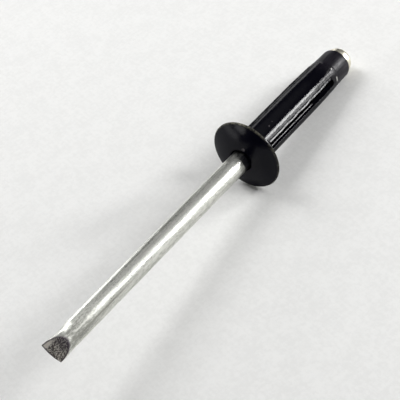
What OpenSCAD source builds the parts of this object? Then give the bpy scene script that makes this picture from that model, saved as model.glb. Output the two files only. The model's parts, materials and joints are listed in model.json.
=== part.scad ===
// Blind rivet whose slotted barrel folds out when the rod through it is pulled.
// It lies as it comes to rest: the flange's rim and the tail's end touch z = 0.
// Row frame: +X runs to the tail, +Z is up, and the origin is under the middle.

/* [Flange] */
// outer diameter of the flange
flange_d = 9.95; // [8.6:0.05:12]
// height of the dome over the seat, measured at the mouth
dome_h = 1.48; // [1.1:0.02:2.2]
// thickness of the flange at its rim
rim_t = 0.25; // [0.15:0.01:0.5]
// rounding of the mouth where the rod comes out
mouth_round = 0.25; // [0.1:0.01:0.4]
// fillet between the seat and the barrel
root_round = 0.15; // [0.05:0.01:0.3]

/* [Barrel] */
// outer diameter of the barrel under the flange
barrel_d = 4.8; // [4.6:0.05:6]
// length from the seat to the end of the tail
barrel_l = 22.2; // [18:0.1:30]
// length over which the barrel narrows before the collar
taper_l = 4.9; // [2:0.1:8]
// how much the diameter loses along that taper
taper_drop = 0.24; // [0:0.01:0.4]

/* [Swaged collar] */
// length of the collar, with its shoulder
collar_l = 3.3; // [2:0.1:5]
// length of the shoulder between taper and collar
shoulder_l = 0.25; // [0.1:0.01:0.6]
// how much the diameter loses at the shoulder
shoulder_drop = 0.1; // [0:0.01:0.2]
// how much it loses from there to the tail
collar_drop = 0.1; // [0:0.01:0.2]
// rounding of the tail's outer edge
tail_round = 0.25; // [0.05:0.01:0.3]

/* [Slots] */
// number of slots round the barrel
slot_count = 3; // [2:1:4]
// width of each slot
slot_w = 0.92; // [0.5:0.01:1.2]
// distance from the seat to the near end of a slot
slot_start = 2; // [1:0.1:4]
// distance from the far end of a slot to the collar
slot_to_collar = 1.1; // [0.6:0.1:3]
// angle of the first slot from the top, toward -Y
slot_turn = 80; // [0:1:120]

/* [Rod] */
// diameter of the rod
rod_d = 2.77; // [2.5:0.01:3]
// length of the rod outside the dome
rod_out = 37.37; // [25:0.1:45]
// radial clearance between rod and bore
bore_gap = 0.1; // [0.05:0.005:0.2]
// radial clearance between rod and swaged collar
crimp_gap = 0.02; // [0.01:0.005:0.05]

/* [Rod head] */
// how far the head's side lies inside the tail's outer edge
head_inset = 0.32; // [0.25:0.01:0.5]
// height of the head over the tail
head_h = 2.05; // [1.6:0.01:2.4]
// height of the head's straight side, below its dome
head_side = 0.85; // [0.4:0.01:1.1]
// diameter of the small flat on top of the dome
head_flat = 0.3; // [0.2:0.05:0.5]

/* [Break notch] */
// distance from the middle of the notch to the collar
notch_to_collar = 3.9; // [3.2:0.1:5]
// length of the notch along the rod
notch_l = 0.8; // [0.4:0.05:1.2]
// how much the diameter loses at the bottom of the notch
notch_drop = 0.87; // [0.4:0.01:1.4]
// how much it loses on the plug between notch and collar
plug_drop = 0.17; // [0:0.01:0.4]

/* [Pinched tip] */
// angle between the two cut faces
chisel_deg = 65; // [50:1:100]
// angle of the upper cut face from the top, toward -Y
chisel_turn = 40; // [0:1:90]
// radius of the cut edge seen flat on
edge_bow = 5.2; // [3:0.1:12]
// sideways offset of that bow
bow_shift = 0.45; // [0:0.05:0.6]
// length of the spread end
nip_l = 2.65; // [2.4:0.05:3.5]
// length over which it spreads
spread_l = 1.8; // [1:0.1:2.2]
// how much it spreads beyond the rod's diameter
spread_gain = 0.09; // [0:0.01:0.2]
// sideways lean of the spread end
nip_lean = 2.6; // [0:0.1:5]
// length of the neck before the spread end
neck_l = 1.6; // [0.8:0.1:3]
// how much the diameter loses along the neck
neck_drop = 0.15; // [0:0.01:0.3]
// sideways lean of the neck, the other way
neck_lean = 3; // [0:0.1:6]
// how far each leaning length is stepped in from the one before it
joint_step = 0.02; // [0.01:0.005:0.05]
// how far it reaches back into the one before it
joint_lap = 0.1; // [0.05:0.01:0.2]

/* [Hidden] */
$fn = 96;
over = 1;
flange_r = flange_d / 2;
barrel_r = barrel_d / 2;
taper_r = barrel_r - taper_drop / 2;
collar_r = taper_r - shoulder_drop / 2;
tail_r = collar_r - collar_drop / 2;
rod_r = rod_d / 2;
bore_r = rod_r + bore_gap;
crimp_r = rod_r + crimp_gap;
mouth_r = bore_r + mouth_round;
head_r = tail_r - head_inset;
notch_r = rod_r - notch_drop / 2;
plug_r = rod_r - plug_drop / 2;
neck_r = rod_r - neck_drop / 2;
spread_r = rod_r + spread_gain / 2;

// places along the rivet, from the seat
collar_at = barrel_l - collar_l;
taper_at = collar_at - taper_l;
slot_end = collar_at - slot_to_collar;
slot_step = 360 / slot_count;
notch_at = collar_at - notch_to_collar;
tip_at = -dome_h - rod_out;
neck_at = tip_at + nip_l + neck_l;

// the flange's dome is part of a sphere through the rim and the mouth
dome_gain = flange_r * flange_r - mouth_r * mouth_r;
dome_mid = (dome_gain + rim_t * rim_t - dome_h * dome_h) / (2 * (dome_h - rim_t));
dome_r = sqrt(flange_r * flange_r + (dome_mid + rim_t) * (dome_mid + rim_t));

// the head's dome is part of a sphere through the top of its side and the flat
flat_r = head_flat / 2;
cap_h = head_h - head_side;
cap_drop = (head_r * head_r - flat_r * flat_r - cap_h * cap_h) / (2 * cap_h);
cap_r = sqrt(head_r * head_r + cap_drop * cap_drop);
cap_mid = barrel_l + head_side - cap_drop;

// at rest one line touches the rim's corner and the tail's rounding
rest_run = barrel_l - tail_round;
rest_drop = flange_r - (tail_r - tail_round);
rest_span = sqrt(rest_run * rest_run + rest_drop * rest_drop);
tilt = atan2(rest_drop, rest_run) - asin(tail_round / rest_span);
seat_z = flange_r * cos(tilt);

// how far the head and the tip reach along X, to centre the origin
reach_flat = (barrel_l + head_h) * cos(tilt) + flat_r * sin(tilt);
reach_cap = cap_mid * cos(tilt) + cap_r;
reach_tail = cap_r * sin(tilt) > flat_r ? reach_cap : reach_flat;
bow_lean = sin(tilt) * sin(chisel_turn);
bow_len = sqrt(cos(tilt) * cos(tilt) + bow_lean * bow_lean);
reach_tip = (tip_at + edge_bow) * cos(tilt) - edge_bow * bow_len;
seat_x = -(reach_tail + reach_tip) / 2;

// lays a piece drawn along Z, with its seat at 0, onto its resting line
module lay() {
  translate([seat_x, 0, seat_z])
    rotate([0, 90 + tilt, 0])
      children();
}

// half outline of the flange: a slice of the dome's sphere
module flange_half() {
  intersection() {
    translate([0, dome_mid])
      circle(r = dome_r);
    translate([0, -dome_h - over])
      square([flange_r, dome_h + over]);
  }
}

// half outline of the barrel, from inside the flange to the tail
module barrel_half() {
  polygon([
    [0, -rim_t],
    [barrel_r, -rim_t],
    [barrel_r, taper_at],
    [taper_r, collar_at],
    [collar_r, collar_at + shoulder_l],
    [tail_r, barrel_l - tail_round],
    [tail_r - tail_round, barrel_l - tail_round],
    [tail_r - tail_round, barrel_l],
    [0, barrel_l]
  ]);
  translate([tail_r - tail_round, barrel_l - tail_round])
    circle(r = tail_round);
}

// fillet between the seat and the barrel
module root_half() {
  difference() {
    translate([barrel_r - rim_t, -rim_t])
      square([root_round + rim_t, root_round + rim_t]);
    translate([barrel_r + root_round, root_round])
      circle(r = root_round);
  }
}

// half outline of the hole: the bore, then the swaged length
module bore_half() {
  polygon([
    [-over, -dome_h - over],
    [bore_r, -dome_h - over],
    [bore_r, collar_at],
    [crimp_r, collar_at + shoulder_l],
    [crimp_r, barrel_l + over],
    [-over, barrel_l + over]
  ]);
}

// what the rounding of the mouth takes away
module mouth_half() {
  difference() {
    translate([bore_r - over, -dome_h - over])
      square([mouth_round + over, mouth_round + over]);
    translate([mouth_r, mouth_round - dome_h])
      circle(r = mouth_round);
  }
}

// one slot with round ends, cut outward from the axis along +X
module slot_cutter() {
  slot_r = slot_w / 2;
  translate([0, -slot_r, slot_start + slot_r])
    cube([barrel_d, slot_w, slot_end - slot_start - slot_w]);
  for (z = [slot_start + slot_r, slot_end - slot_r])
    translate([0, 0, z])
      rotate([0, 90, 0])
        cylinder(r = slot_r, h = barrel_d);
}

module rivet_body() {
  color([0.05, 0.05, 0.06])
    lay()
      rotate([0, 0, 180 + slot_turn + slot_step])
        difference() {
          rotate_extrude()
            difference() {
              union() {
                flange_half();
                barrel_half();
                root_half();
              }
              bore_half();
              mouth_half();
            }
          for (i = [0:slot_count - 1])
            rotate([0, 0, i * slot_step])
              slot_cutter();
        }
}

// half outline of the rod, from its neck to the top of the head's side
module rod_half() {
  polygon([
    [0, neck_at],
    [rod_r, neck_at],
    [rod_r, notch_at - notch_l / 2],
    [notch_r, notch_at],
    [plug_r, notch_at + notch_l / 2],
    [plug_r, collar_at],
    [rod_r, collar_at + shoulder_l],
    [rod_r, barrel_l],
    [head_r, barrel_l],
    [head_r, barrel_l + head_side],
    [0, barrel_l + head_side]
  ]);
}

// half outline of the head's dome
module cap_half() {
  intersection() {
    translate([0, cap_mid])
      circle(r = cap_r);
    translate([0, barrel_l + head_side])
      square([head_r, cap_h]);
  }
}

// a round length from inside the one before it to -length, then a straight tail
module tapered(start_r, end_r, length, tail) {
  rotate_extrude()
    polygon([
      [0, joint_lap],
      [start_r, joint_lap],
      [start_r, 0],
      [end_r, -length],
      [end_r, -length - tail],
      [0, -length - tail]
    ]);
}

// the neck leans one way and the spread end leans back across it
module pinched_end() {
  translate([0, 0, neck_at])
    rotate([neck_lean, 0, 0]) {
      tapered(rod_r - joint_step, neck_r, neck_l, 0);
      translate([0, 0, -neck_l])
        rotate([-neck_lean - nip_lean, 0, 0])
          tapered(neck_r - joint_step, spread_r, spread_l, nip_l - spread_l + over);
    }
}

// what the two cut faces leave, with the bowed edge between them
module chisel() {
  wedge_h = nip_l + neck_l + rod_d;
  wedge_w = wedge_h * tan(chisel_deg / 2);
  intersection() {
    translate([0, 0, tip_at])
      rotate([90, 0, 0])
        linear_extrude(height = barrel_d * 2, center = true)
          polygon([
            [0, 0],
            [wedge_w, wedge_h],
            [-wedge_w, wedge_h]
          ]);
    translate([0, -bow_shift, tip_at + edge_bow])
      rotate([0, 90, 0])
        cylinder(r = edge_bow, h = wedge_w * 2, center = true);
  }
}

module mandrel() {
  color([0.8, 0.8, 0.78])
    lay() {
      rotate_extrude() {
        rod_half();
        cap_half();
      }
      rotate([0, 0, 180 + chisel_turn])
        intersection() {
          pinched_end();
          chisel();
        }
    }
}

rivet_body();
mandrel();
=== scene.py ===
import json
import math

import bpy
import bmesh
from mathutils import Matrix, Vector, noise


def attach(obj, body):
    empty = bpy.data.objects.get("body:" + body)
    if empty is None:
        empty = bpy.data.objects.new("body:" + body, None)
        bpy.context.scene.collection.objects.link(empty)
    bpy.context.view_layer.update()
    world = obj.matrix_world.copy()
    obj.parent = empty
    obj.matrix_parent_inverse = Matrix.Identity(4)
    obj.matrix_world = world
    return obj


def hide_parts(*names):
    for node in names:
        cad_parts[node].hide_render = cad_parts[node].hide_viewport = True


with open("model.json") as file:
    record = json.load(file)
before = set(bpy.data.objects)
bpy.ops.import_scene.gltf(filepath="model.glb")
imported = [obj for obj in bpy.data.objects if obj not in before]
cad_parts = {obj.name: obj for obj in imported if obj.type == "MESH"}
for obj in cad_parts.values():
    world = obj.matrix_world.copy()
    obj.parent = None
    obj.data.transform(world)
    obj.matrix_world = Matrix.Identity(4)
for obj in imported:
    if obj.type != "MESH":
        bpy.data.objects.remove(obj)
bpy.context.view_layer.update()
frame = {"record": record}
mm = 0.001
print("frame loaded")

# the rivet's own axis: along runs from the flange's seat to the tail, up is square to it
pinMount = {m["name"]: m for m in frame["record"]["mounts"]}["barrel"]
alongAxis = Vector(pinMount["axis"]).normalized()
sideAxis = Vector((0, 1, 0))
upAxis = alongAxis.cross(sideAxis).normalized()
restTilt = math.atan2(-alongAxis.z, alongAxis.x)

barrelShape = {  # millimetres and degrees
    "flangeRadius": 4.975, "domeHeight": 1.48, "rimHeight": 0.25,
    "rimRoundTop": 0.16, "rimRoundSeat": 0.07, "mouthRound": 0.25, "mouthTurn": -100,
    "mouthGap": 0.03, "rootRound": 0.15,
    "barrelRadius": 2.4, "taperRadius": 2.28, "collarRadius": 2.23, "tailRadius": 2.18,
    "barrelLength": 22.2, "taperStart": 14.0, "collarStart": 18.9, "shoulderLength": 0.25,
    "shoulderTop": ((0.06, -0.006), (0.13, -0.03)), "shoulderFoot": ((-0.04, -0.004), (0.05, -0.004)),
    "tailRound": 0.25, "boreRadius": 1.485, "crimpRadius": 1.405, "crimpBevel": 0.04,
    # how finely it is divided: places along the axis, shares of a straight stretch, steps of a round one
    "boreRings": (0.6, 0.2, -0.3, -0.8), "rootRings": (0.3, 0.6), "crimpRings": (21.0, 20.0),
    "seatShares": (0.9, 0.7, 0.5, 0.3, 0.1), "collarShares": (0.2, 0.4, 0.6, 0.8), "faceRings": (-0.2, 0.1),
    "mouthSteps": 8, "domeSteps": 32, "rimSteps": 7, "seatSteps": 5, "rootSteps": 6, "tailSteps": 8,
    "sectorSteps": 56, "lengthSteps": 64, "flankSteps": 5, "rollSteps": 8,
    "outerShares": (0.72, 0.5, 0.33, 0.2, 0.1, 0.04), "innerShares": (0.3, 0.65),
    # slots, the paint lip along their edges and the ledge inside them
    "slotCount": 3, "slotTurn": 80.0, "slotHalf": 0.46, "slotStart": 2.0, "slotEnd": 17.8, "slotLead": 1.1,
    "lipWidth": 0.08, "lipDepth": 0.08, "lipWave": 0.4, "lipDrift": (0.9, 3, 7.3),
    "lipRaise": 0.056, "lipFlank": 3.1,
    "ledgeHeight": 1.93, "ledgeWidth": 0.085, "ledgeDrop": 0.062, "ledgeTop": 0.02, "ledgeUnder": 0.03,
    "ledgeFade": 12.5, "fadeRun": 3, "fadeGain": 2.5, "ledgeShares": (0, 0.2, 0.8, 1),
}
pinHalf = pinMount["dims"]["length_mm"] / 2
seatPoint = Vector(pinMount["pos_m"]) - alongAxis * (barrelShape["rootRound"] + pinHalf) * mm


def axisPoint(along, up, side):
    return seatPoint + (alongAxis * along + upAxis * up + sideAxis * side) * mm


def roundPoint(along, radius, turn):  # turn runs from up toward -Y
    a = math.radians(turn)
    return axisPoint(along, radius * math.cos(a), -radius * math.sin(a))


def arcPoints(along, radius, size, start, end, steps):  # 0 points outward, 90 to the tail
    points = []
    for i in range(steps + 1):
        a = math.radians(start + (end - start) * i / steps)
        points.append((along + size * math.sin(a), radius + size * math.cos(a)))
    return points


def easeStep(value):
    value = min(max(value, 0), 1)
    return value * value * (3 - 2 * value)


def joinLoops(faces, first, second):
    for i in range(len(first)):
        j = (i + 1) % len(first)
        corners = []
        for v in (first[i], first[j], second[j], second[i]):
            if v not in corners:
                corners.append(v)
        if len(corners) > 2:
            faces.append(tuple(corners))


def makePiece(name, verts, faces, materials, faceSlots=None):
    mesh = bpy.data.meshes.new(name)
    mesh.from_pydata([tuple(v) for v in verts], [], faces)
    for material in materials:
        mesh.materials.append(material)
    if faceSlots:
        mesh.polygons.foreach_set("material_index", faceSlots)
    work = bmesh.new()
    work.from_mesh(mesh)
    bmesh.ops.recalc_face_normals(work, faces=work.faces)
    work.to_mesh(mesh)
    work.free()
    mesh.shade_smooth()
    piece = bpy.data.objects.new(name, mesh)
    bpy.context.scene.collection.objects.link(piece)
    return piece


def barrelRadiusAt(along):
    s = barrelShape
    if along <= s["taperStart"]:
        return s["barrelRadius"]
    share = (along - s["taperStart"]) / (s["collarStart"] - s["taperStart"])
    return s["barrelRadius"] + (s["taperRadius"] - s["barrelRadius"]) * min(share, 1)


def domeProfile():
    # bore, mouth, dome, rim, seat and root, from the inside out, as (along, radius)
    s = barrelShape
    mouthRadius = s["boreRadius"] + s["mouthRound"]
    domeGain, domeRise = s["flangeRadius"] ** 2 - mouthRadius ** 2, s["domeHeight"] - s["rimHeight"]
    domeMid = (domeGain + s["rimHeight"] ** 2 - s["domeHeight"] ** 2) / (2 * domeRise)
    domeRadius = math.hypot(s["flangeRadius"], domeMid + s["rimHeight"])
    topRadius, topReach = s["flangeRadius"] - s["rimRoundTop"], domeRadius - s["rimRoundTop"]
    topAlong = domeMid - math.sqrt(topReach ** 2 - topRadius ** 2)
    rimLean = math.degrees(math.asin(topRadius / topReach))
    mouthLean = math.degrees(math.asin((mouthRadius + s["mouthGap"]) / domeRadius))
    seatOuter, rootOuter = s["flangeRadius"] - s["rimRoundSeat"], s["barrelRadius"] + s["rootRound"]

    profile = [(along, s["boreRadius"]) for along in s["boreRings"]]
    mouthAlong = s["mouthRound"] - s["domeHeight"]
    profile += arcPoints(mouthAlong, mouthRadius, s["mouthRound"], -180, s["mouthTurn"], s["mouthSteps"])
    for i in range(s["domeSteps"] + 1):
        lean = math.radians(mouthLean + (rimLean - mouthLean) * i / s["domeSteps"])
        profile.append((domeMid - domeRadius * math.cos(lean), domeRadius * math.sin(lean)))
    profile += arcPoints(topAlong, topRadius, s["rimRoundTop"], rimLean - 90, 0, s["rimSteps"])[1:]
    profile += arcPoints(-s["rimRoundSeat"], seatOuter, s["rimRoundSeat"], 0, 90, s["seatSteps"])
    profile += [(0.0, rootOuter + (seatOuter - rootOuter) * share) for share in s["seatShares"]]
    profile += arcPoints(s["rootRound"], rootOuter, s["rootRound"], 270, 180, s["rootSteps"])
    profile += [(along, s["barrelRadius"]) for along in s["rootRings"]]
    return profile


def tailProfile():
    # shoulder, collar, tail and crimp, from the outside in, as (along, radius)
    s = barrelShape
    shoulderEnd = s["collarStart"] + s["shoulderLength"]
    tailMid, tailInner = s["barrelLength"] - s["tailRound"], s["tailRadius"] - s["tailRound"]
    tailGain = s["tailRadius"] - s["collarRadius"]
    profile = [(s["collarStart"] + along, s["taperRadius"] + change) for along, change in s["shoulderTop"]]
    profile += [(shoulderEnd + along, s["collarRadius"] + change) for along, change in s["shoulderFoot"]]
    for share in s["collarShares"]:
        profile.append((shoulderEnd + (tailMid - shoulderEnd) * share, s["collarRadius"] + tailGain * share))
    profile += arcPoints(tailMid, tailInner, s["tailRound"], 0, 90, s["tailSteps"])
    faceOuter, faceInner = s["faceRings"]
    profile += [(s["barrelLength"], tailInner + faceOuter), (s["barrelLength"], s["crimpRadius"] + faceInner)]
    profile.append((s["barrelLength"] - s["crimpBevel"], s["crimpRadius"]))
    profile += [(along, s["crimpRadius"]) for along in (*s["crimpRings"], shoulderEnd)]
    return profile


def slotOutline(grow):
    # a round-ended slot as (across, along): near end, one side, far end, other side
    s = barrelShape
    near, far, half = s["slotStart"] + s["slotHalf"], s["slotEnd"] - s["slotHalf"], s["slotHalf"] + grow
    turns = [math.pi * i / s["sectorSteps"] for i in range(s["sectorSteps"] + 1)]
    sides = [near + (far - near) * j / s["lengthSteps"] for j in range(1, s["lengthSteps"])]
    points = [(-half * math.cos(t), near - half * math.sin(t)) for t in turns]
    points += [(half, along) for along in sides]
    points += [(half * math.cos(t), far + half * math.sin(t)) for t in turns]
    points += [(-half, along) for along in reversed(sides)]
    return points


def lipPoint(base, grown, k, share, depth):
    # a point beside slot k's edge: share 0 is the edge, 1 the lip's top, and the lip wanders in width
    s = barrelShape
    (x0, a0), (x1, a1) = base, grown
    alongScale, acrossScale, slotScale = s["lipDrift"]
    drift = noise.noise(Vector((a0 * alongScale, x0 * acrossScale, k * slotScale)))
    grow = share * (s["lipWidth"] * (1 + s["lipWave"] * drift))
    across, along = x0 + (x1 - x0) * grow, a0 + (a1 - a0) * grow
    height = math.sqrt(barrelRadiusAt(along) ** 2 - across ** 2) - depth
    return along, math.hypot(height, across), math.degrees(math.atan2(across, height))


def wallPoint(across, along, height, drop):
    # a point on a slot's wall at a height over the axis, lower by drop and more beyond the fade
    s = barrelShape
    level = height - drop * (1 + s["fadeGain"] * easeStep((along - s["ledgeFade"]) / s["fadeRun"]))
    return along, math.hypot(across, level), math.degrees(math.atan2(across, level))


def lipLoops(k):
    # loops of (along, radius, turn) from the foot of slot k's lip over its top to the cut
    s = barrelShape
    pairs = list(zip(slotOutline(0), slotOutline(1)))
    loops = [[lipPoint(a, b, k, s["lipFlank"], 0) for a, b in pairs]]
    for i in range(s["flankSteps"]):
        share = s["lipFlank"] + (1 - s["lipFlank"]) * i / s["flankSteps"]
        rise = s["lipRaise"] * i / s["flankSteps"]
        loops.append([lipPoint(a, b, k, share, -rise) for a, b in pairs])
    for i in range(s["rollSteps"] + 1):
        roll = math.pi / 2 * i / s["rollSteps"]
        depth = (s["lipDepth"] + s["lipRaise"]) * (1 - math.cos(roll)) - s["lipRaise"]
        loops.append([lipPoint(a, b, k, 1 - math.sin(roll), depth) for a, b in pairs])
    return loops


def wallLoops():
    # the cut's wall, with a small ledge halfway down, then its line on the bore
    s = barrelShape
    narrow = slotOutline(-s["ledgeWidth"])
    loops = [[wallPoint(x, a, s["ledgeHeight"] + s["ledgeTop"], 0.0) for x, a in slotOutline(0)]]
    for share in s["ledgeShares"]:
        outline = slotOutline(-s["ledgeWidth"] * share)
        loops.append([wallPoint(x, a, s["ledgeHeight"], s["ledgeDrop"] * share) for x, a in outline])
    loops.append([wallPoint(x, a, s["ledgeHeight"] - s["ledgeUnder"], s["ledgeDrop"]) for x, a in narrow])
    bore = []
    for across, along in narrow:
        height = math.sqrt(s["boreRadius"] ** 2 - across ** 2)
        bore.append((along, s["boreRadius"], math.degrees(math.atan2(across, height))))
    return loops + [bore]


def buildBarrel(material):
    s = barrelShape
    steps, lengthSteps, count = s["sectorSteps"], s["lengthSteps"], s["slotCount"]
    sector = 360 / count
    verts, faces = [], []
    turns = [s["slotTurn"] - sector / 2 + sector * i / steps for i in range(count * steps)]
    nearEnd, farEnd = s["slotStart"] - s["slotLead"], s["collarStart"]
    sideAlongs = [nearEnd + (farEnd - nearEnd) * j / lengthSteps for j in range(1, lengthSteps)]

    def addPoints(points):
        start = len(verts)
        verts.extend(roundPoint(*p) for p in points)
        return list(range(start, len(verts)))

    def addRing(along, radius):
        return addPoints([(along, radius, t) for t in turns])

    def addColumns(radiusAt):  # the columns of points that two neighbouring thirds share
        starts = [turns[k * steps] for k in range(count)]
        return [addPoints([(along, radiusAt(along), turn) for along in sideAlongs]) for turn in starts]

    nearOuter, farOuter = addRing(nearEnd, barrelRadiusAt(nearEnd)), addRing(farEnd, barrelRadiusAt(farEnd))
    nearInner, farInner = addRing(nearEnd, s["boreRadius"]), addRing(farEnd, s["boreRadius"])
    for first, profile, last in ((nearInner, domeProfile(), nearOuter), (farOuter, tailProfile(), farInner)):
        rings = [first] + [addRing(*p) for p in profile] + [last]
        for a, b in zip(rings, rings[1:]):
            joinLoops(faces, a, b)
    outerColumns, innerColumns = addColumns(barrelRadiusAt), addColumns(lambda along: s["boreRadius"])

    def sectorLoop(k, nearRing, farRing, columns):
        near = [nearRing[(k * steps + i) % len(nearRing)] for i in range(steps + 1)]
        far = [farRing[(k * steps + i) % len(farRing)] for i in range(steps, -1, -1)]
        return near + columns[(k + 1) % count] + far + columns[k][::-1]

    # a third's edge as (turn from the slot's middle, along), in the order of the slot's outline
    plain = [(-sector / 2 + sector * i / steps, nearEnd) for i in range(steps + 1)]
    plain += [(sector / 2, along) for along in sideAlongs]
    plain += [(sector / 2 - sector * i / steps, farEnd) for i in range(steps + 1)]
    plain += [(-sector / 2, along) for along in reversed(sideAlongs)]

    for k in range(count):
        middle = s["slotTurn"] + sector * k

        def addLoop(points):
            return addPoints([(along, radius, middle + turn) for along, radius, turn in points])

        foot, *lip = lipLoops(k)
        wall = wallLoops()
        loops = [sectorLoop(k, nearOuter, farOuter, outerColumns)]
        for share in s["outerShares"]:
            points = []
            for (along, radius, turn), (edgeTurn, edgeAlong) in zip(foot, plain):
                place = along + (edgeAlong - along) * share
                points.append((place, barrelRadiusAt(place), turn + (edgeTurn - turn) * share))
            loops.append(addLoop(points))
        loops += [addLoop(points) for points in lip + wall]
        for share in s["innerShares"]:
            points = []
            for (along, radius, turn), (edgeTurn, edgeAlong) in zip(wall[-1], plain):
                points.append((along + (edgeAlong - along) * share, radius, turn + (edgeTurn - turn) * share))
            loops.append(addLoop(points))
        loops.append(sectorLoop(k, nearInner, farInner, innerColumns))
        for a, b in zip(loops, loops[1:]):
            joinLoops(faces, a, b)

    return makePiece("paintedBarrel", verts, faces, [material])


mandrelShape = {  # millimetres and degrees
    "rodRadius": 1.385, "tipAlong": -38.85, "tailAlong": barrelShape["barrelLength"],
    "headRadius": 1.86, "headHeight": 2.05, "headSide": 0.85, "headFlat": 0.15,
    "headRound": 0.5, "headFoot": 0.16, "headGap": 0.012, "headInner": 1.55, "capShare": 0.995,
    "notchMiddle": 15.0, "notchHalf": 0.4, "notchRadius": 0.95, "plugRadius": 1.3, "plugMiddle": 17,
    "notchEase": 0.05, "notchLead": 0.06, "notchRun": 0.07, "notchDip": 0.02, "plugEase": 0.04,
    "crimpStart": barrelShape["collarStart"], "crimpRun": barrelShape["shoulderLength"], "crimpMiddle": 20.5,
    # the pinched tip: its two cut faces, the bowed edge between them, and the spread end and neck
    "chiselAngle": 65.0, "chiselTurn": 40.0, "edgeBow": 5.2, "bowShift": 0.45, "edgeBlend": 0.05,
    "cutBevel": 0.03, "bevelLean": 0.7, "ridgeLimit": 0.7,
    "spreadLength": 2.65, "spreadRun": 1.8, "spreadRadius": 1.43, "spreadLean": 2.6,
    "neckRun": 1.6, "neckRadius": 1.3, "neckLean": 3.0,
    # how finely it is divided
    "rodRings": (-31, -28, -25, -22, -19, -16, -13, -10, -7, -4, -2, 0, 2.5, 5, 7.5, 10, 12.5),
    "cutShares": (0, 0.15, 0.32, 0.5, 0.68, 0.84, 0.95), "ridgeShares": (1, 0.75, 0.4, 0), "cutTries": 40,
    "tipLength": 5.2, "tipSteps": 22, "ringSteps": 128, "footSteps": 6, "roundSteps": 10, "capSteps": 16,
}


def softMax(a, b, blend):
    h = max(blend - abs(a - b), 0) / blend
    return max(a, b) + h * h * blend / 4


def pinchedSection(along):
    # radius and sideways shift of the rod near its pinched tip
    m = mandrelShape
    neckStart = m["tipAlong"] + m["spreadLength"] + m["neckRun"]
    run = neckStart - along
    if run <= 0:
        return m["rodRadius"], 0.0
    neckShare = min(run / m["neckRun"], 1)
    shift = neckShare * m["neckRun"] * math.tan(math.radians(m["neckLean"]))
    radius = m["rodRadius"] + (m["neckRadius"] - m["rodRadius"]) * easeStep(neckShare)
    beyond = max(run - m["neckRun"], 0)
    shift -= beyond * math.tan(math.radians(m["spreadLean"]))
    radius += (m["spreadRadius"] - m["neckRadius"]) * easeStep(beyond / m["spreadRun"])
    return radius, shift


def edgeBowAt(side):  # how far the sharp edge bows back, away from its middle
    m = mandrelShape
    return m["edgeBow"] - math.sqrt(max(m["edgeBow"] ** 2 - (side + m["bowShift"]) ** 2, 0))


def cutHeight(across, side):
    # how far along the two cut faces and the bowed edge lie, at a place on the tip
    m = mandrelShape
    wedge = abs(across) / math.tan(math.radians(m["chiselAngle"] / 2))
    return m["tipAlong"] + softMax(wedge, edgeBowAt(side), m["edgeBlend"])


def rodProfile():
    # rod, notch, plug and head, from the tip's rings to the pole, as (along, radius)
    m = mandrelShape
    rod, plug, notch = m["rodRadius"], m["plugRadius"], m["notchRadius"]
    nearSide, farSide = m["notchMiddle"] - m["notchHalf"], m["notchMiddle"] + m["notchHalf"]
    profile = [(along, rod) for along in m["rodRings"]]
    profile += [(nearSide - m["notchLead"], rod), (nearSide + m["notchEase"], rod - m["notchEase"])]
    profile.append((m["notchMiddle"] - m["notchRun"], notch + m["notchRun"]))
    profile.append((m["notchMiddle"], notch + m["notchDip"]))
    profile.append((m["notchMiddle"] + m["notchRun"], notch + m["notchLead"]))
    profile += [(farSide - m["notchEase"], plug - m["plugEase"]), (farSide + m["notchEase"], plug)]
    profile += [(along, plug) for along in (m["plugMiddle"], m["crimpStart"])]
    headStart = m["tailAlong"] + m["headGap"]
    crimpEnd = m["crimpStart"] + m["crimpRun"]
    profile += [(along, rod) for along in (crimpEnd, m["crimpMiddle"], headStart)]

    capHeight = m["headHeight"] - m["headSide"]
    capDrop = (m["headRadius"] ** 2 - m["headFlat"] ** 2 - capHeight ** 2) / (2 * capHeight)
    capRadius = math.hypot(m["headRadius"], capDrop)
    capMid = m["tailAlong"] + m["headSide"] - capDrop
    roundRadius, roundReach = m["headRadius"] - m["headRound"], capRadius - m["headRound"]
    roundAlong = capMid + math.sqrt(roundReach ** 2 - roundRadius ** 2)
    roundEnd = math.degrees(math.acos(roundRadius / roundReach))
    profile.append((headStart, m["headInner"]))
    footAlong, footRadius = headStart + m["headFoot"], m["headRadius"] - m["headFoot"]
    profile += arcPoints(footAlong, footRadius, m["headFoot"], -90, 0, m["footSteps"])
    profile += arcPoints(roundAlong, roundRadius, m["headRound"], 0, roundEnd, m["roundSteps"])
    for i in range(1, m["capSteps"] + 1):
        a = math.radians(roundEnd + (90 - roundEnd) * i / m["capSteps"] * m["capShare"])
        profile.append((capMid + capRadius * math.sin(a), capRadius * math.cos(a)))
    return profile


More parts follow.
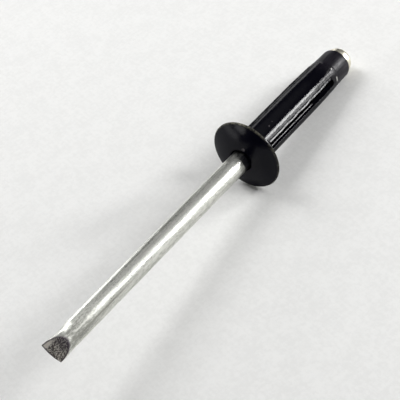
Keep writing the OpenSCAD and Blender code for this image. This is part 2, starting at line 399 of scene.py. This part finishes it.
def buildMandrel(rodMaterial, cutMaterial, insideMaterial):
    m = mandrelShape
    steps = m["ringSteps"]
    verts, faces, faceSlots = [], [], []
    turns = [-90 + 360 * j / steps for j in range(steps)]  # counted from the upper cut face's middle
    chisel = math.radians(m["chiselTurn"])

    def addPoint(along, across, side):
        up = across * math.cos(chisel) - side * math.sin(chisel)
        verts.append(axisPoint(along, up, -across * math.sin(chisel) - side * math.cos(chisel)))
        return len(verts) - 1

    def sectionPoint(along, turn, scale=1.0):
        radius, shift = pinchedSection(along)
        a = math.radians(turn)
        return radius * scale * math.cos(a), shift + radius * scale * math.sin(a)

    cutAlong = []
    for turn in turns:  # where each line along the rod meets the cut
        along = m["tipAlong"] + 1
        for _ in range(m["cutTries"]):
            along = cutHeight(*sectionPoint(along, turn))
        cutAlong.append(along)

    # rings of the tip, from the round rod to the cut
    bodyStart = m["tipAlong"] + m["tipLength"]
    rings = []
    for i in range(m["tipSteps"] + 1):
        ring = []
        for turn, end in zip(turns, cutAlong):
            along = bodyStart + (end + m["cutBevel"] - bodyStart) * (i / m["tipSteps"])
            ring.append(addPoint(along, *sectionPoint(along, turn)))
        rings.append(ring)
    for a, b in zip(rings, rings[1:]):
        joinLoops(faces, a, b)
    rodFaces = len(faces)

    # the cut faces, row by row across the edge
    scale = 1 - m["cutBevel"] * m["bevelLean"] / m["rodRadius"]
    rows = []
    edgeRing = [None] * steps
    for j in range(steps // 2 + 1):
        across, side = sectionPoint(cutAlong[j], turns[j], scale)
        if j in (0, steps // 2):
            columns = [across]
        else:
            ridge = edgeBowAt(side) * math.tan(math.radians(m["chiselAngle"] / 2))
            ridge = min(ridge, across * m["ridgeLimit"])
            columns = [across + (ridge - across) * share for share in m["cutShares"]]
            columns += [ridge * share for share in m["ridgeShares"]]
            columns += [-c for c in columns[-2::-1]]
        row = [addPoint(cutHeight(c, side), c, side) for c in columns]
        edgeRing[j], edgeRing[-j] = row[0], row[-1]
        rows.append(row)
    joinLoops(faces, rings[-1], edgeRing)
    for lower, upper in zip(rows, rows[1:]):
        if len(lower) == 1 or len(upper) == 1:
            point, row = (lower[0], upper) if len(lower) == 1 else (upper[0], lower)
            faces.extend((point, a, b) for a, b in zip(row, row[1:]))
        else:
            faces.extend((a, b, d, c) for a, b, c, d in zip(lower, lower[1:], upper, upper[1:]))
    faceSlots = [0] * rodFaces + [1] * (len(faces) - rodFaces)

    # rod and head; the stretch behind the barrel's slots has the paint that came through them
    lastRing = rings[0]
    for along, radius in rodProfile():
        startFace = len(faces)
        ring = []
        for turn in turns:
            a = math.radians(turn)
            ring.append(addPoint(along, radius * math.cos(a), radius * math.sin(a)))
        joinLoops(faces, lastRing, ring)
        faceSlots += [2 if 0 < along <= m["crimpStart"] else 0] * (len(faces) - startFace)
        lastRing = ring
    pole = addPoint(m["tailAlong"] + m["headHeight"], 0, 0)
    faces.extend((lastRing[j], lastRing[(j + 1) % steps], pole) for j in range(steps))
    faceSlots += [0] * (len(faces) - len(faceSlots))
    return makePiece("pullMandrel", verts, faces, [rodMaterial, cutMaterial, insideMaterial], faceSlots)


class Nodes:  # shorthand for building a material
    def __init__(self, name):
        self.material = bpy.data.materials.new(name)
        self.material.use_nodes = True
        self.tree = self.material.node_tree
        self.shader = self.tree.nodes["Principled BSDF"]

    def add(self, kind, inputs=None, **settings):
        node = self.tree.nodes.new(kind)
        for key, value in settings.items():
            setattr(node, key, value)
        for key, value in (inputs or {}).items():
            self.plug(value, node.inputs[key])
        return node

    def plug(self, value, socket):
        if isinstance(value, bpy.types.NodeSocket):
            self.tree.links.new(value, socket)
        elif isinstance(value, bpy.types.Node):
            self.tree.links.new(value.outputs[0], socket)
        else:
            socket.default_value = value

    def set(self, **values):
        for key, value in values.items():
            self.plug(value, self.shader.inputs[key.replace("_", " ")])

    def place(self, stretch=(1, 1, 1), shift=(0, 0, 0)):
        # millimetres along, across and up the rivet's axis, stretched for the pattern
        inputs = {"Vector": self.add("ShaderNodeTexCoord").outputs["Object"]}
        inputs |= {"Location": tuple(seatPoint), "Rotation": (0, restTilt, 0), "Scale": (mm, mm, mm)}
        axis = self.add("ShaderNodeMapping", inputs, vector_type="TEXTURE")
        return self.add("ShaderNodeMapping", {"Vector": axis, "Location": shift, "Scale": stretch})

    def noise(self, place, scale, detail=2.0, roughness=0.5):
        inputs = {"Vector": place, "Scale": scale, "Detail": detail, "Roughness": roughness}
        return self.add("ShaderNodeTexNoise", inputs)

    def pattern(self, stretch=(1, 1, 1), shift=(0, 0, 0), **grain):
        return self.noise(self.place(stretch, shift), **grain)

    def sway(self, **pattern):  # the pattern, swinging about 0
        return self.minus(self.pattern(**pattern), 0.5)

    def ramp(self, value, low, high, outLow=0.0, outHigh=1.0):
        inputs = {"Value": value, "From Min": low, "From Max": high, "To Min": outLow, "To Max": outHigh}
        return self.add("ShaderNodeMapRange", inputs)

    def turnRamp(self, value, low, high, outLow=0.0, outHigh=1.0):  # low and high in degrees
        return self.ramp(value, math.radians(low), math.radians(high), outLow, outHigh)

    def math(self, operation, a, b=0.0):
        return self.add("ShaderNodeMath", {0: a, 1: b}, operation=operation)

    def plus(self, a, b):
        return self.math("ADD", a, b)

    def minus(self, a, b):
        return self.math("SUBTRACT", a, b)

    def times(self, a, b):
        return self.math("MULTIPLY", a, b)

    def gap(self, a, b):
        return self.math("ABSOLUTE", self.minus(a, b))

    def length(self, a, b):
        return self.math("SQRT", self.plus(self.math("POWER", a, 2.0), self.math("POWER", b, 2.0)))

    def split(self, place):
        return self.add("ShaderNodeSeparateXYZ", {"Vector": place}).outputs

    def turn(self, axes):  # radians round the axis, from up toward -Y
        return self.math("ARCTAN2", self.times(axes["Y"], -1.0), axes["Z"])

    def toward(self, axes, degrees):  # how far out from the axis, measured at that turn
        a = math.radians(degrees)
        return self.plus(self.times(axes["Z"], math.cos(a)), self.times(axes["Y"], -math.sin(a)))

    def mixColor(self, factor, a, b):
        node = self.add("ShaderNodeMix", data_type="RGBA")
        self.plug(factor, node.inputs["Factor"])
        self.plug(a, node.inputs[6])
        self.plug(b, node.inputs[7])
        return node.outputs[2]

    def bump(self, height, distance, normal=None):
        inputs = {"Height": height, "Distance": distance, "Strength": 1.0}
        if normal:
            inputs["Normal"] = normal
        return self.add("ShaderNodeBump", inputs)


# in the looks a pattern is a noise over the rivet's own millimetres, stretched along, across and up;
# a range is where something starts and where it is full, sometimes with what it runs from and to;
# places are counted from the seat, or from the tip, mouth, rim, collar or tail that they belong to,
# and turns in degrees from up toward -Y
paintLook = {
    "color": (0.0022, 0.0022, 0.0042, 1), "baseRough": 0.4, "baseIndex": 1.5,
    "coatWeight": 0.26, "coatIndex": 1.62, "coatRough": (0.3, 0.7, 0.05625, 0.0975),
    "cloud": {"scale": 0.7, "detail": 4, "roughness": 0.6},
    "peel": {"scale": 1.6, "detail": 3, "roughness": 0.55}, "peelHeight": 0.000012,
    "grain": {"stretch": (0.6, 1, 1), "shift": (2, 2, 5), "scale": 5.0, "detail": 3, "roughness": 0.7},
    "grainHeight": 0.000012, "grainRange": (0.0, 0.8, 0.2, 1.0),
    # the dome, a little bluer and duller
    "domeRange": (0.1, -0.2), "domeColor": (0.0022, 0.0022, 0.0062, 1), "domeCoat": -0.05, "domeRough": 0.1,
    # pale specks, in a few places
    "speckColor": (0.32, 0.3, 0.28, 1), "speckScale": 2.6, "speckShift": (3.1, 0.4, 1.7),
    "speckSize": (0.06, 0.024), "speckPatch": {"scale": 0.9, "detail": 1}, "patchRange": (0.6, 0.66),
    # small pale marks: two pale specks on the barrel, and a painted reflection on the dome beside the mouth;
    # columns: along, radius, turn, size, strength
    "specksAndReflection": ((4.0, 2.4, 28, 0.13, 0.5), (4.9, 2.4, 24, 0.07, 0.5), (-1.28, 2.05, 20, 0.3, 0.9)),
    "speckReflectionColor": (0.15, 0.136, 0.14, 1), "speckReflectionCore": 0.5,
    # paint worn along the flange's rim, together with a painted highlight on the side that faces the key
    # lamp; least on the side away from the middle turn
    "rimWearSheenColor": (0.15, 0.145, 0.11, 1), "rimRange": (-0.185, -0.085), "rimSheenMiddle": -50,
    "rimSheenTurns": (90, 50, 0.35, 1.0), "rimPatch": {"scale": 2.2, "detail": 3, "roughness": 0.6},
    "wornSheenRange": (0.35, 0.6),
    # painted glints on the ring before the collar, drawn as pale bare-metal spots where the ring catches
    # light: middle, half width in degrees, how bare
    "ringGlints": ((85, 11, 1.0), (42, 3, 0.45), (0, 6, 0.15)), "ringGlintColor": (0.62, 0.61, 0.58, 1),
    "ringGlintAlong": -0.1, "ringGlintRange": (0.16, 0.1), "ringGlintRagged": 0.16, "ringGlintCore": 0.6,
    # toward the collar the paint was dulled by swaging, which smeared it lengthwise
    "swageRange": (-1.4, 1.6), "swageDrift": 2.0, "collarShare": 0.6, "collarRough": 0.3, "collarCoat": 0.25,
    "streak": {"stretch": (0.14, 1, 1), "shift": (7, 3, 2), "scale": 1.9, "detail": 3, "roughness": 0.65},
    "streakRange": (0.36, 0.64, 0.35, 1.45), "collarColor": (0.011, 0.009, 0.014, 1),
}


def blackPaint():
    look = paintLook
    n = Nodes("blackPaint")
    place = n.place()
    axes = n.split(place)
    along, turn = axes["X"], n.turn(axes)
    collar = n.minus(along, barrelShape["collarStart"])
    peel, grain = n.pattern(**look["peel"]), n.pattern(**look["grain"])

    dome = n.ramp(along, *look["domeRange"])
    color = n.mixColor(dome, look["color"], look["domeColor"])
    inputs = {"Vector": n.place(shift=look["speckShift"]), "Scale": look["speckScale"]}
    specks = n.add("ShaderNodeTexVoronoi", inputs, feature="F1").outputs["Distance"]
    patch = n.ramp(n.pattern(**look["speckPatch"]), *look["patchRange"])
    color = n.mixColor(n.times(n.ramp(specks, *look["speckSize"]), patch), color, look["speckColor"])
    # pale specks on the barrel, and beside the mouth a painted reflection on the dome
    for reach, out, turned, size, strength in look["specksAndReflection"]:
        a = math.radians(turned)
        inputs = {0: place, 1: (reach, -out * math.sin(a), out * math.cos(a))}
        spot = n.add("ShaderNodeVectorMath", inputs, operation="DISTANCE").outputs["Value"]
        speckAndReflection = n.ramp(spot, size, size * look["speckReflectionCore"], 0.0, strength)
        color = n.mixColor(speckAndReflection, color, look["speckReflectionColor"])

    # paler along the rim: partly worn paint, partly a painted highlight, strongest on the side toward the key
    # lamp
    rim = n.minus(n.length(axes["Y"], axes["Z"]), barrelShape["flangeRadius"])
    rim = n.times(n.ramp(rim, *look["rimRange"]), n.ramp(n.pattern(**look["rimPatch"]), *look["wornSheenRange"]))
    rim = n.times(rim, n.turnRamp(n.gap(turn, math.radians(look["rimSheenMiddle"])), *look["rimSheenTurns"]))
    color = n.mixColor(rim, color, look["rimWearSheenColor"])

    # painted glints: pale bare-metal spots on the ring where it catches light
    ringGlint = 0.0
    for middle, half, bare in look["ringGlints"]:
        spot = n.gap(turn, math.radians(middle))
        ringGlint = n.plus(n.turnRamp(spot, half, half * look["ringGlintCore"], 0.0, bare), ringGlint)
    ragged = n.plus(collar, n.times(grain, look["ringGlintRagged"]))
    ringGlint = n.times(ringGlint, n.ramp(n.gap(ragged, look["ringGlintAlong"]), *look["ringGlintRange"]))
    color = n.mixColor(ringGlint, color, look["ringGlintColor"])

    swaged = n.ramp(n.plus(collar, n.times(peel, look["swageDrift"])), *look["swageRange"])
    streak = n.ramp(n.pattern(**look["streak"]), *look["streakRange"])
    color = n.mixColor(n.times(swaged, n.times(streak, look["collarShare"])), color, look["collarColor"])

    rough = n.ramp(n.pattern(**look["cloud"]), *look["coatRough"])
    rough = n.plus(rough, n.times(swaged, look["collarRough"]))
    rough = n.plus(rough, n.times(dome, look["domeRough"]))
    weight = n.times(swaged, n.times(streak, look["collarCoat"]))
    weight = n.plus(weight, n.plus(look["coatWeight"], n.times(dome, look["domeCoat"])))
    skin = n.times(grain, n.ramp(along, *look["grainRange"]))
    skin = n.bump(skin, look["grainHeight"], normal=n.bump(peel, look["peelHeight"]))
    n.set(Base_Color=color, Metallic=ringGlint, Roughness=look["baseRough"], IOR=look["baseIndex"])
    n.set(Coat_Weight=weight, Coat_Roughness=rough, Coat_IOR=look["coatIndex"], Specular_IOR_Level=0.0)
    n.set(Normal=skin, Coat_Normal=skin)
    return n.material


cutLook = {
    "color": (0.88, 0.84, 0.77, 1), "roughness": 0.55,
    "wander": {"shift": (4, 4, 2), "scale": 2.4, "detail": 3, "roughness": 0.6}, "wanderReach": 1.2,
    "streaks": {"stretch": (0.22, 1, 1), "shift": (2, 5, 1), "scale": 8.5, "detail": 2, "roughness": 0.6},
    "streakColor": (0.15, 0.13, 0.125, 1), "streakRange": (0.42, 0.55), "streakHeight": 0.00003,
    # smooth and pale at the faces' sides, where the cutter first bit
    "paleColor": (0.95, 0.9, 0.83, 1), "paleShift": 0.35, "paleRange": (1.1, 1.3),
    # dark toward the rod, with grime along the sharp edges
    "darkColor": (0.1, 0.085, 0.1, 1), "darkRange": (0.8, 1.7), "darkStreaks": (0.36, 0.5, 0.5, 1.0),
    "edgeRange": (0.11, 0.05), "outlineRange": (1.26, 1.36), "outlineWander": 0.1, "edgeShare": 0.85,
}


def cutAluminium():
    look, shape = cutLook, mandrelShape
    n = Nodes("cutAluminium")
    axes = n.split(n.place())
    wander = n.times(n.sway(**look["wander"]), look["wanderReach"])
    behind = n.minus(n.plus(axes["X"], wander), shape["tipAlong"])
    across, rise = n.toward(axes, shape["chiselTurn"] - 90), n.toward(axes, shape["chiselTurn"])
    streaks = n.pattern(**look["streaks"])
    color = n.mixColor(n.ramp(streaks, *look["streakRange"]), look["color"], look["streakColor"])
    side = n.math("ABSOLUTE", n.plus(across, look["paleShift"]))
    color = n.mixColor(n.ramp(n.plus(side, wander), *look["paleRange"]), color, look["paleColor"])
    dark = n.times(n.ramp(behind, *look["darkRange"]), n.ramp(streaks, *look["darkStreaks"]))
    color = n.mixColor(dark, color, look["darkColor"])
    edge = n.ramp(n.math("ABSOLUTE", rise), *look["edgeRange"])
    outline = n.plus(n.length(rise, across), n.times(wander, look["outlineWander"]))
    edge = n.math("MAXIMUM", edge, n.ramp(outline, *look["outlineRange"]))
    color = n.mixColor(n.times(edge, look["edgeShare"]), color, look["darkColor"])
    skin = n.bump(streaks, look["streakHeight"])
    n.set(Base_Color=color, Roughness=look["roughness"], Metallic=1.0, Normal=skin)
    return n.material


metalLook = {
    "color": (0.78, 0.785, 0.735, 1), "brushed": 0.42, "brushTurn": 0.25,
    "roughRange": (0.38, 0.62, 0.25, 0.38), "roughGrain": 0.75,
    "lines": {"stretch": (0.04, 1, 1), "scale": 3.6, "detail": 4, "roughness": 0.8}, "lineHeight": 0.00001,
    "waves": {"stretch": (0.05, 1, 1), "shift": (5, 2, 1), "scale": 2.2}, "waveHeight": 0.000001,
    "cloud": {"stretch": (0.3, 1, 1), "shift": (1, 7, 3), "scale": 1.6, "detail": 3, "roughness": 0.6},
    "grain": {"stretch": (0.45, 1, 1), "shift": (3, 8, 5), "scale": 4.6, "detail": 3, "roughness": 0.75},
    "pits": {"stretch": (0.6, 1, 1), "shift": (9, 1, 4), "scale": 12.0, "detail": 1}, "drift": {"scale": 2.5},
    "lineColor": (0.47, 0.475, 0.435, 1), "lineRange": (0.45, 0.58), "lineShare": 0.5,
    "pitColor": (0.22, 0.22, 0.19, 1), "pitRange": (0.68, 0.78), "pitShare": 0.6,
    "brightColor": (0.96, 0.96, 0.92, 1), "brightRange": (0.33, 0.25), "brightShare": 0.7,
    # the end of the rod: scored by gripping jaws along one line, and dulled and darkened on the side where
    # the lamp's highlight falls, partly a dull finish and partly painted shade that dims that highlight
    "dullShadeColor": (0.24, 0.24, 0.22, 1), "dullRange": (11.85, 6.85), "dullDrift": 4.0, "dullTurn": 50,
    "dullTurns": (56, 30), "dullShadeTone": 0.45, "dullGrain": (0.42, 0.58, 0.4, 0.85), "dullRough": 0.3,
    "scoreColor": (0.3, 0.3, 0.27, 1), "scoreTurn": 71, "scoreTurns": (7, 2), "scoreRange": (17.85, 13.85),
    "scoreDrift": 0.1, "scoreGrain": 8.0,
    # a warmer tint on the head, and painted shade where it meets the tail, standing in for the shade in that
    # joint and the dark body's reflection on it
    "headTint": (0.8, 0.76, 0.62, 1), "tintRange": (0.0, 0.3, 0.0, 0.85),
    "headJointShade": (0.1, 0.095, 0.07, 1), "jointShadeStart": (-0.3, -0.1), "jointShadeEnd": (0.42, 0.2), "jointShadeDrift": 0.2,
    # paint smeared out of the mouth, drawn together with a painted reflection of the black dome on the rod
    # next to it, and a ring of paint that climbed a little way up the rod
    "smearReflectionColor": (0.055, 0.057, 0.06, 1), "smearRange": (-1.12, -0.52), "smearAndReflection": {"scale": 1.4},
    "smearDrift": 2.0, "smearShare": 0.85, "mouthRange": (1.48, 0.98),
    "ringRange": (-1.1, -0.94), "ringDrift": 0.5, "ringTurns": (16, 30), "ringRagged": 0.6,
    # grime beside the pinched faces
    "grimeRange": (0.34, 0.05, 0.0, 0.85), "grimeDrift": 0.5,
}


def drawnAluminium():
    look, shape = metalLook, mandrelShape
    n = Nodes("drawnAluminium")
    axes = n.split(n.place())
    along, turn = axes["X"], n.turn(axes)
    fromTip, fromTail = n.minus(along, shape["tipAlong"]), n.minus(along, shape["tailAlong"])
    fromMouth = n.plus(along, barrelShape["domeHeight"])
    lines, waves, cloud = (n.pattern(**look[key]) for key in ("lines", "waves", "cloud"))
    grain, pits, drift = n.pattern(**look["grain"]), n.pattern(**look["pits"]), n.sway(**look["drift"])

    dullAndShade = n.ramp(n.plus(fromTip, n.times(cloud, look["dullDrift"])), *look["dullRange"])
    dullAndShade = n.times(dullAndShade, n.turnRamp(n.gap(turn, math.radians(look["dullTurn"])), *look["dullTurns"]))
    tone = n.plus(n.times(lines, look["lineShare"]), n.times(grain, 1 - look["lineShare"]))
    tone = n.plus(n.ramp(tone, *look["lineRange"]), n.times(dullAndShade, look["dullShadeTone"]))
    color = n.mixColor(tone, look["color"], look["lineColor"])
    color = n.mixColor(n.times(n.ramp(pits, *look["pitRange"]), look["pitShare"]), color, look["pitColor"])
    bright = n.times(n.ramp(pits, *look["brightRange"]), look["brightShare"])
    color = n.mixColor(bright, color, look["brightColor"])
    # painted shade: the tip darkened where the lamp's highlight falls, over a dull finish
    color = n.mixColor(n.times(dullAndShade, n.ramp(grain, *look["dullGrain"])), color, look["dullShadeColor"])

    color = n.mixColor(n.ramp(fromTail, *look["tintRange"]), color, look["headTint"])
    # painted shade: a dark band on the head where it sits on the tail
    jointShade = n.ramp(n.plus(fromTail, n.times(cloud, look["jointShadeDrift"])), *look["jointShadeEnd"])
    color = n.mixColor(n.times(jointShade, n.ramp(fromTail, *look["jointShadeStart"])), color, look["headJointShade"])

    # darker next to the mouth: smeared paint together with a painted reflection of the black dome
    outside = n.ramp(fromMouth, *look["mouthRange"])
    smearAndReflection = n.plus(fromMouth, n.times(n.sway(**look["smearAndReflection"]), look["smearDrift"]))
    smearAndReflection = n.times(n.ramp(smearAndReflection, *look["smearRange"]), n.times(outside, look["smearShare"]))
    color = n.mixColor(smearAndReflection, color, look["smearReflectionColor"])
    ring = n.ramp(n.plus(fromMouth, n.times(drift, look["ringDrift"])), *look["ringRange"])
    ring = n.times(ring, n.turnRamp(n.plus(turn, n.times(drift, look["ringRagged"])), *look["ringTurns"]))
    ring = n.times(ring, outside)
    color = n.mixColor(ring, color, paintLook["color"])

    score = n.gap(n.plus(turn, n.times(drift, look["scoreDrift"])), math.radians(look["scoreTurn"]))
    score = n.turnRamp(score, *look["scoreTurns"])
    score = n.times(score, n.ramp(n.plus(fromTip, n.times(grain, look["scoreGrain"])), *look["scoreRange"]))
    color = n.mixColor(score, color, look["scoreColor"])
    rise = n.math("ABSOLUTE", n.toward(axes, shape["chiselTurn"]))
    wedge = n.math("DIVIDE", rise, math.tan(math.radians(shape["chiselAngle"] / 2)))
    behind = n.plus(n.minus(fromTip, wedge), n.times(drift, look["grimeDrift"]))
    color = n.mixColor(n.ramp(behind, *look["grimeRange"]), color, cutLook["darkColor"])

    rough = n.plus(n.times(cloud, 1 - look["roughGrain"]), n.times(grain, look["roughGrain"]))
    rough = n.plus(n.ramp(rough, *look["roughRange"]), n.times(dullAndShade, look["dullRough"]))
    skin = n.bump(lines, look["lineHeight"], normal=n.bump(waves, look["waveHeight"]))
    drawn = n.add("ShaderNodeCombineXYZ", {"X": alongAxis.x, "Y": alongAxis.y, "Z": alongAxis.z})
    n.set(Base_Color=color, Roughness=rough, Metallic=n.minus(1.0, ring), Normal=skin)
    n.set(Anisotropic=look["brushed"], Anisotropic_Rotation=look["brushTurn"], Tangent=drawn)
    return n.material


paint = blackPaint()
barrel = buildBarrel(paint)
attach(barrel, "root")
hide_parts("rivet_body")
print("barrel made:", len(barrel.data.polygons), "faces")

mandrel = buildMandrel(drawnAluminium(), cutAluminium(), paint)  # paint reached the rod through the slots
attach(mandrel, "root")
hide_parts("mandrel")
print("mandrel made:", len(mandrel.data.polygons), "faces")

floorLook = {  # its patterns in millimetres, its size and the distances to its plain part in metres
    "size": 6.0, "color": (0.845, 0.845, 0.832, 1), "roughness": 0.9, "shine": 0.2,
    "shade": (0.8, 0.8, 0.787, 1), "shadeRange": (0.44, 0.56),
    "mottle": {"scale": 0.3, "detail": 5, "roughness": 0.65}, "mottleShare": 0.35,
    "grain": {"scale": 1.6, "detail": 3, "roughness": 0.7}, "grainShare": 0.45, "grainHeight": 0.00001,
    "weave": {"scale": 0.8, "detail": 2, "roughness": 0.6}, "weaveShare": 0.2, "weaveStretch": (3.0, 0.5, 1),
    "weaveTurn": 18.0, "dust": (0.6, 0.6, 0.59, 1), "dustScale": 0.09, "dustRange": (0.03, 0.018, 0.0, 0.5),
    "plainRange": (0.062, 0.115),
}


def buildFloor():
    look = floorLook
    half = look["size"] / 2
    corners = [(-half, -half, 0), (half, -half, 0), (half, half, 0), (-half, half, 0)]
    mesh = bpy.data.meshes.new("paperFloor")
    mesh.from_pydata(corners, [], [(0, 1, 2, 3)])
    n = Nodes("palePaper")
    place = n.add("ShaderNodeTexCoord").outputs["Object"]
    turned = {"Rotation": (0, 0, math.radians(look["weaveTurn"])), "Scale": (1 / mm, 1 / mm, 1 / mm)}
    flat = n.add("ShaderNodeMapping", {"Vector": place, **turned})
    woven = n.add("ShaderNodeMapping", {"Vector": flat, "Scale": look["weaveStretch"]})
    mottle, grain = n.noise(flat, **look["mottle"]), n.noise(flat, **look["grain"])
    weave = n.noise(woven, **look["weave"])
    shade = n.plus(n.times(grain, look["grainShare"]), n.times(weave, look["weaveShare"]))
    shade = n.plus(n.times(mottle, look["mottleShare"]), shade)
    inputs = {"Vector": flat, "Scale": look["dustScale"]}
    dust = n.add("ShaderNodeTexVoronoi", inputs, feature="F1").outputs["Distance"]
    color = n.mixColor(n.ramp(shade, *look["shadeRange"]), look["color"], look["shade"])
    color = n.mixColor(n.ramp(dust, *look["dustRange"]), color, look["dust"])
    n.set(Base_Color=color, Roughness=look["roughness"], Specular_IOR_Level=look["shine"])
    n.set(Normal=n.bump(grain, look["grainHeight"]))
    # far from the rivet the floor shows plainly as its own colour, so that it runs on evenly
    ray = n.add("ShaderNodeLightPath").outputs
    seen = n.math("MAXIMUM", ray["Is Camera Ray"], ray["Is Glossy Ray"])
    seen = n.math("MAXIMUM", seen, ray["Is Transmission Ray"])
    reach = n.add("ShaderNodeVectorMath", {0: place}, operation="LENGTH").outputs["Value"]
    plain = n.add("ShaderNodeEmission", {"Color": look["color"], "Strength": 1.0})
    far = n.times(n.ramp(reach, *look["plainRange"]), seen)
    both = n.add("ShaderNodeMixShader", {0: far, 1: n.shader.outputs[0], 2: plain})
    n.plug(both, n.tree.nodes["Material Output"].inputs["Surface"])
    mesh.materials.append(n.material)
    floor = bpy.data.objects.new("paperFloor", mesh)
    bpy.context.scene.collection.objects.link(floor)


buildFloor()

lightSet = {  # turn from +X toward +Y and rise over the floor, in degrees; distance in metres;
    # across and tall are how large it looks from the rivet, in degrees; face is the brightness of its face
    "keyLight": {"turn": 83, "rise": 52, "distance": 0.3, "across": 18, "tall": 30, "face": 8.7},
    "keyFoot": {"turn": 83, "rise": 28, "distance": 0.3, "across": 18, "tall": 18, "face": 3.4},
    "fillLight": {"turn": -69, "rise": 42, "distance": 0.4, "across": 16, "tall": 16, "face": 12.6},
    "overheadLight": {"turn": 0, "rise": 80, "distance": 0.4, "across": 80, "tall": 80, "face": 0.36},
    "windowLight": {"turn": -42, "rise": 20.8, "distance": 0.3, "across": 12, "tall": 10, "face": 43.0},
    "windowFoot": {"turn": -45, "rise": 8.5, "distance": 0.3, "across": 12, "tall": 8, "face": 12.0},
    "backLight": {"turn": 122, "rise": 5, "distance": 0.3, "across": 50, "tall": 10, "face": 2.2},
    "domeGlint": {"turn": 147, "rise": 18, "distance": 0.3, "across": 18, "tall": 9, "face": 4.2},
    "leftLine": {"turn": 42, "rise": 13, "distance": 0.3, "across": 13, "tall": 11, "face": 3.0},
    "tipGlow": {"turn": 69, "rise": 10, "distance": 0.3, "across": 10, "tall": 20, "face": 4.2},
}
lampTarget = Vector((8, 0, 4)) * mm


def addLight(name, turn, rise, distance, across, tall, face):
    width = 2 * distance * math.tan(math.radians(across / 2))
    height = 2 * distance * math.tan(math.radians(tall / 2))
    lamp = bpy.data.lights.new(name, "AREA")
    lamp.shape = "RECTANGLE"
    lamp.size, lamp.size_y = width, height
    lamp.energy = face * math.pi * width * height
    a, b = math.radians(turn), math.radians(rise)
    direction = Vector((math.cos(a) * math.cos(b), math.sin(a) * math.cos(b), math.sin(b)))
    holder = bpy.data.objects.new(name, lamp)
    holder.location = lampTarget + direction * distance
    holder.rotation_euler = direction.to_track_quat("Z", "Y").to_euler()
    holder.visible_camera = False
    bpy.context.scene.collection.objects.link(holder)


for name, values in lightSet.items():
    addLight(name, **values)

roomLook = {"color": (1.0, 1.0, 1.0, 1), "strength": 0.02}


def buildRoom():
    world = bpy.data.worlds.new("studioRoom")
    bpy.context.scene.world = world
    world.use_nodes = True
    background = world.node_tree.nodes["Background"]
    background.inputs["Color"].default_value = roomLook["color"]
    background.inputs["Strength"].default_value = roomLook["strength"]


buildRoom()
print("floor, lamps and room made")

cameraView = {  # place in millimetres, roll in degrees, clipping in metres
    "place": (-73.306, -78.597, 109.607), "forward": (0.47697, 0.53298, -0.69888), "roll": -18.864,
    "lens": 107.57, "sensor": 36, "clipStart": 0.005, "clipEnd": 20,
}


def addCamera():
    view = cameraView
    camera = bpy.data.cameras.new("viewCamera")
    camera.lens, camera.sensor_width = view["lens"], view["sensor"]
    camera.clip_start, camera.clip_end = view["clipStart"], view["clipEnd"]
    aim = Vector(view["forward"]).to_track_quat("-Z", "Y").to_matrix().to_4x4()
    roll = Matrix.Rotation(math.radians(view["roll"]), 4, "Z")
    holder = bpy.data.objects.new("viewCamera", camera)
    holder.matrix_world = Matrix.Translation(Vector(view["place"]) * mm) @ (aim @ roll)
    bpy.context.scene.collection.objects.link(holder)
    bpy.context.scene.camera = holder


addCamera()
bpy.context.scene.view_settings.view_transform = "Standard"
